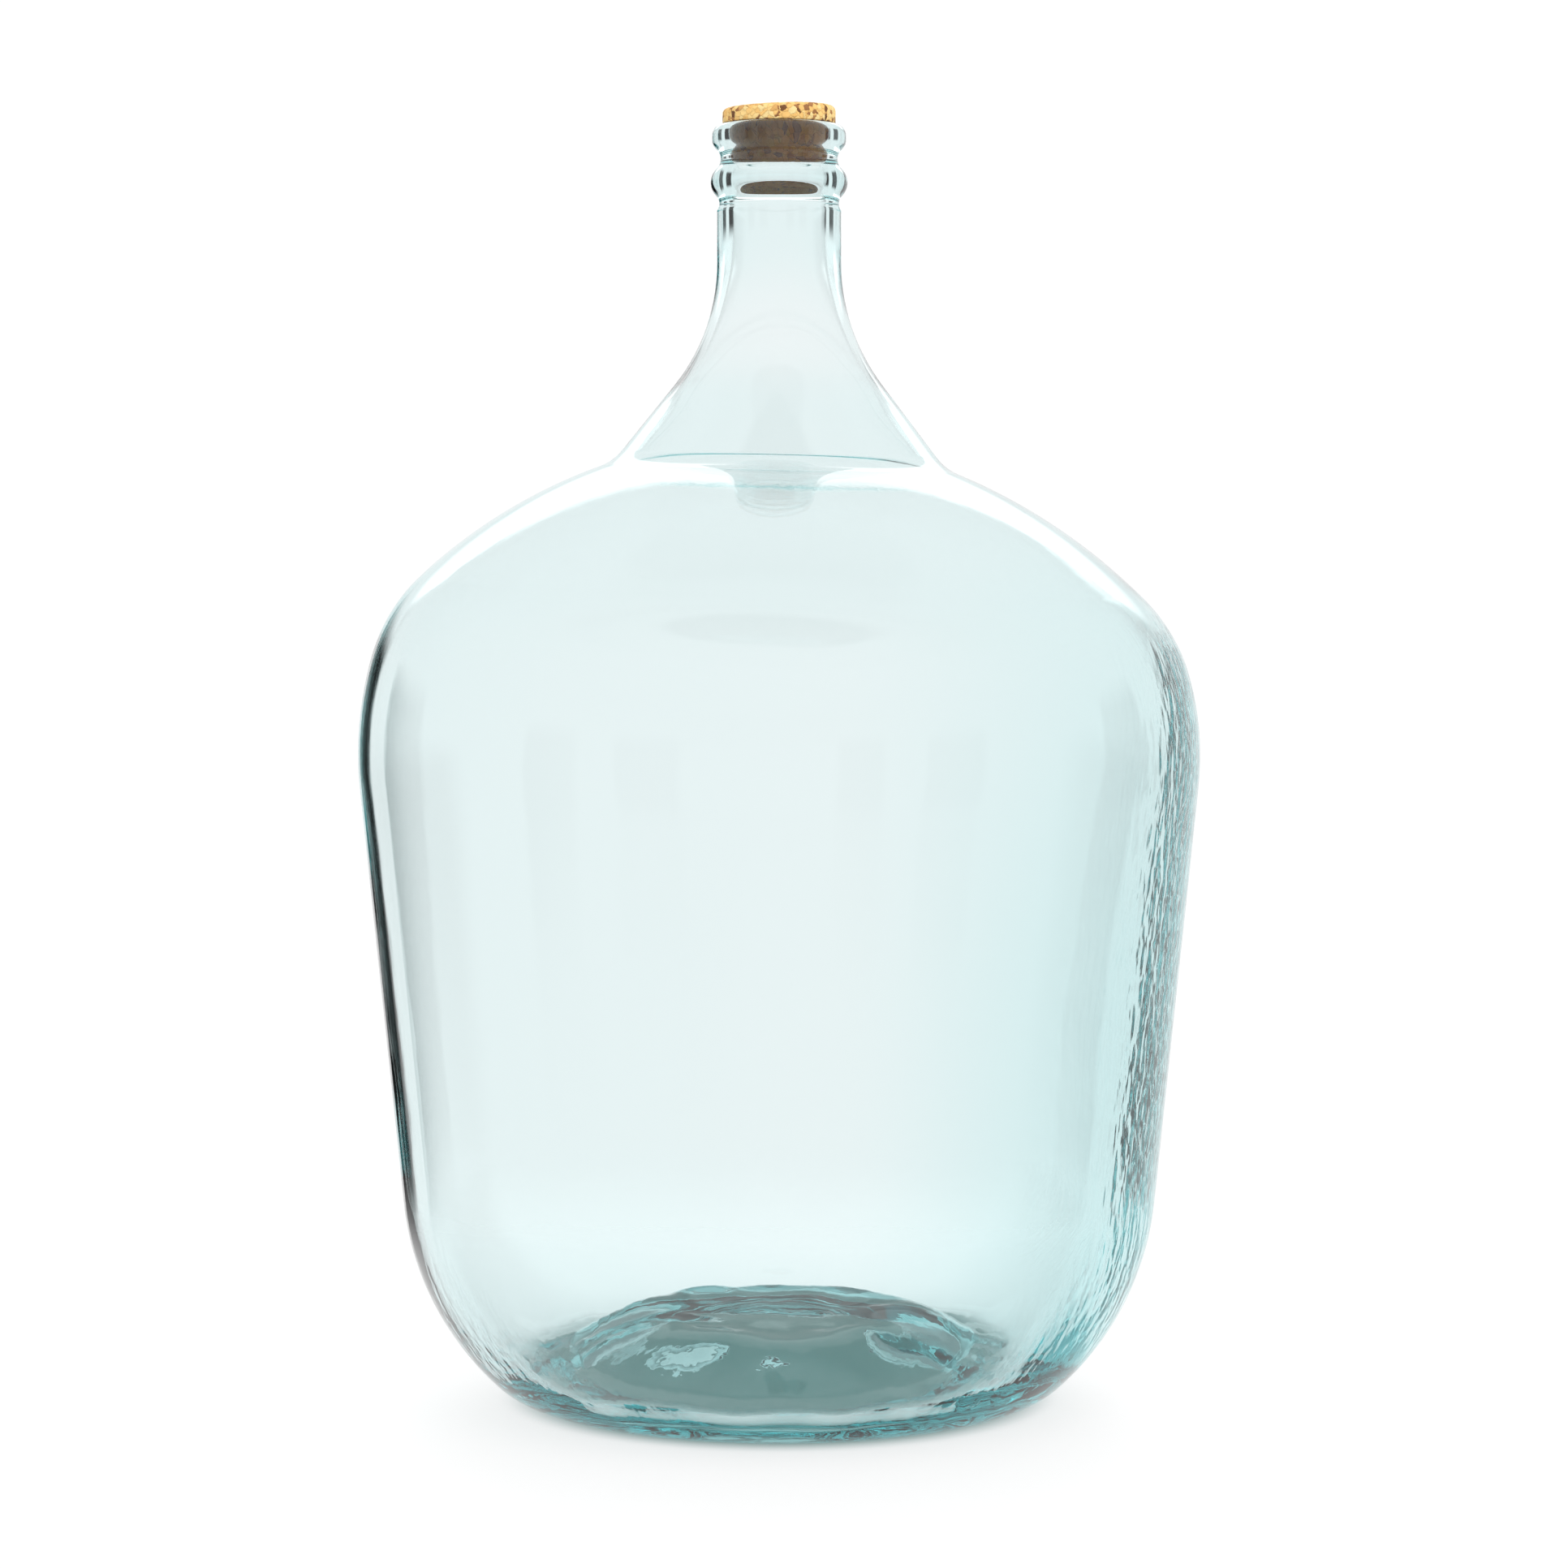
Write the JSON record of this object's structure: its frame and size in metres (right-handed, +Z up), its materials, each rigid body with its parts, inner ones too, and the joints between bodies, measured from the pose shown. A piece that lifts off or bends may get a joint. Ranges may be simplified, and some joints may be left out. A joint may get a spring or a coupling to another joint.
{
  "type": "glass carboy",
  "caption": "Large round glass carboy with sloping shoulders, a narrow ringed neck and a pushed-up base, closed by a cork stopper, for fermenting and storing wine or cider.",
  "frame": {"origin": "centre of the ring the bottle stands on, at floor level", "axes": "+Z up along the bottle's axis of symmetry; +X and +Y are free, since the bottle is round"},
  "size_m": [0.3698, 0.3699, 0.568],
  "materials": {
    "bottle_glass": "smooth blown glass with a pale aqua tint",
    "cork": "matte, coarse pressed cork granules"
  },
  "bodies": {
    "bottle": {"glass_bottle": "bottle_glass"},
    "stopper": {"cork_stopper": "cork"}
  },
  "joints": [
    {"name": "stopper_pull", "type": "slide", "parent": "bottle", "child": "stopper", "axis": [0, 0, 1], "range_m": [0, 0.06]}
  ]
}
